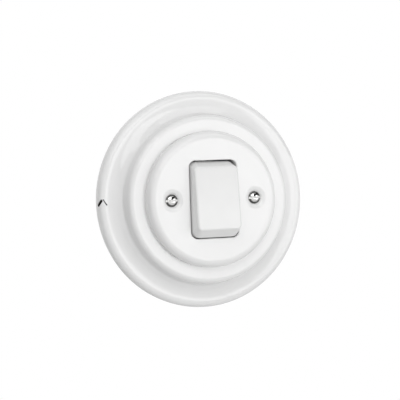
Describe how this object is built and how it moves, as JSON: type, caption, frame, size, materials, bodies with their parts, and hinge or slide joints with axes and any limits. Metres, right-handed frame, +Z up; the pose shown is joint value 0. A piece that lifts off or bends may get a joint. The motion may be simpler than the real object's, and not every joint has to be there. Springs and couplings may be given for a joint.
{
  "type": "ceramic intermediate switch",
  "caption": "Round white porcelain flush wall switch: stepped frame, screwed cover plate and a rocker that reverses two crossed changeover poles behind it.",
  "frame": {"origin": "centre of the switch on the wall face, midway between the slots for the box screws", "axes": "+X to the viewer's right, +Z up, +Y into the wall; the rocker faces -Y"},
  "size_m": [0.1, 0.0415, 0.1],
  "materials": {
    "porcelain": "white glaze, high gloss",
    "rocker_white": "smooth white moulding, semi-gloss",
    "plated_screw": "bright nickel plate",
    "carrier_plastic": "natural white moulding",
    "base_plastic": "ivory thermoset moulding",
    "zinc_steel": "zinc plated sheet",
    "screw_steel": "zinc plated screws",
    "pin_steel": "ground steel",
    "spring_steel": "drawn wire",
    "brass": "bright brass",
    "silver": "silver contact metal"
  },
  "bodies": {
    "body": {"outer_frame": "porcelain", "cover_plate": "porcelain", "cover_screws": "plated_screw", "rocker_pin": "pin_steel", "bearing_cover": "carrier_plastic", "bearing_screws": "screw_steel", "common_bracket_left": "brass", "common_bracket_right": "brass", "bridge_pins": "pin_steel", "cross_link_front": "brass", "cross_link_rear": "brass", "fixed_contacts": "silver", "switch_base": "base_plastic", "terminal_blocks": "brass", "terminal_screws": "screw_steel", "back_cover": "base_plastic", "back_cover_screws": "screw_steel", "support_plate": "zinc_steel", "screw_posts": "brass", "support_screws": "screw_steel"},
    "rocker": {"rocker_cap": "rocker_white", "rocker_carrier": "carrier_plastic", "plunger_spring_left": "spring_steel", "plunger_spring_right": "spring_steel"},
    "plunger_left": {"plunger_left": "carrier_plastic"},
    "plunger_right": {"plunger_right": "carrier_plastic"},
    "bridge_left": {"contact_bridge_left": "brass", "moving_contacts_left": "silver"},
    "bridge_right": {"contact_bridge_right": "brass", "moving_contacts_right": "silver"}
  },
  "joints": [
    {"name": "rocker_tilt", "type": "hinge", "parent": "body", "child": "rocker", "pos_m": [0, -0.0174, 0], "axis": [1, 0, 0], "range_deg": [0, 11]},
    {"name": "plunger_left_slide", "type": "slide", "parent": "rocker", "child": "plunger_left", "axis": [0, -0.9954, 0.0958], "range_m": [0, 0.0012], "stiffness_N_per_m": 200, "springref_m": -0.002, "deforming": ["plunger_spring_left"]},
    {"name": "plunger_right_slide", "type": "slide", "parent": "rocker", "child": "plunger_right", "axis": [0, -0.9954, 0.0958], "range_m": [0, 0.0012], "stiffness_N_per_m": 200, "springref_m": -0.002, "deforming": ["plunger_spring_right"]},
    {"name": "bridge_left_tilt", "type": "hinge", "parent": "body", "child": "bridge_left", "pos_m": [-0.0046, -0.0028, 0], "axis": [1, 0, 0], "range_deg": [-16.5, 0]},
    {"name": "bridge_right_tilt", "type": "hinge", "parent": "body", "child": "bridge_right", "pos_m": [0.0046, -0.0028, 0], "axis": [1, 0, 0], "range_deg": [-16.5, 0]}
  ],
  "couplings": [
    {"joint": "bridge_left_tilt", "follows": "rocker_tilt", "ratio": -1.5},
    {"joint": "bridge_right_tilt", "follows": "rocker_tilt", "ratio": -1.5}
  ]
}
